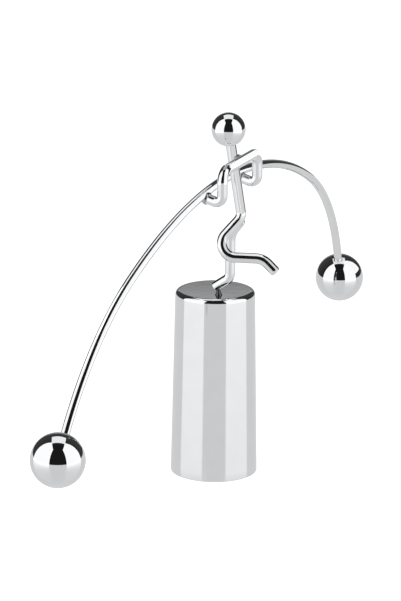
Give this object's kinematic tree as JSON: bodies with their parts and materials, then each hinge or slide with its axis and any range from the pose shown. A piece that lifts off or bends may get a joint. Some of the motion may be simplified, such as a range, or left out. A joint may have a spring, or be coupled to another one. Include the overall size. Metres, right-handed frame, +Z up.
{
  "type": "counterweight balancing toy",
  "caption": "Chromed bent-wire walking figure that balances on one toe on a pin, holding an arched beam with ball counterweights above a tapered round base.",
  "frame": {"origin": "centre of the base's underside, on the table", "axes": "+Z up, +X along the beam to the figure's right, +Y the way the figure walks"},
  "size_m": [0.2962, 0.0484, 0.1466],
  "materials": {
    "chrome": "polished",
    "steel": "polished",
    "braze": "satin",
    "cast_iron": "matte",
    "felt": "matte"
  },
  "bodies": {
    "base": {"base_shell": "chrome", "base_weight": "cast_iron", "base_pad": "felt"},
    "pin": {"pivot_pin": "steel"},
    "point": {"pivot_point": "steel"},
    "figure": {"trunk_wire": "chrome", "standing_leg": "chrome", "arm_wire": "chrome", "head_ball": "chrome", "beam": "chrome", "left_ball": "chrome", "right_ball": "chrome", "hip_braze": "braze", "shoulder_braze": "braze", "left_hand_braze": "braze", "right_hand_braze": "braze"}
  },
  "joints": [
    {"name": "figure_spin", "type": "hinge", "parent": "base", "child": "pin", "pos_m": [-0.0068, -0.0043, 0.0754], "axis": [0, 0, 1], "continuous": true},
    {"name": "figure_rock", "type": "hinge", "parent": "pin", "child": "point", "pos_m": [-0.0068, -0.0043, 0.0754], "axis": [0, 1, 0], "range_deg": [-14, 14]},
    {"name": "figure_nod", "type": "hinge", "parent": "point", "child": "figure", "pos_m": [-0.0068, -0.0043, 0.0754], "axis": [1, 0, 0], "range_deg": [-20, 20]}
  ]
}
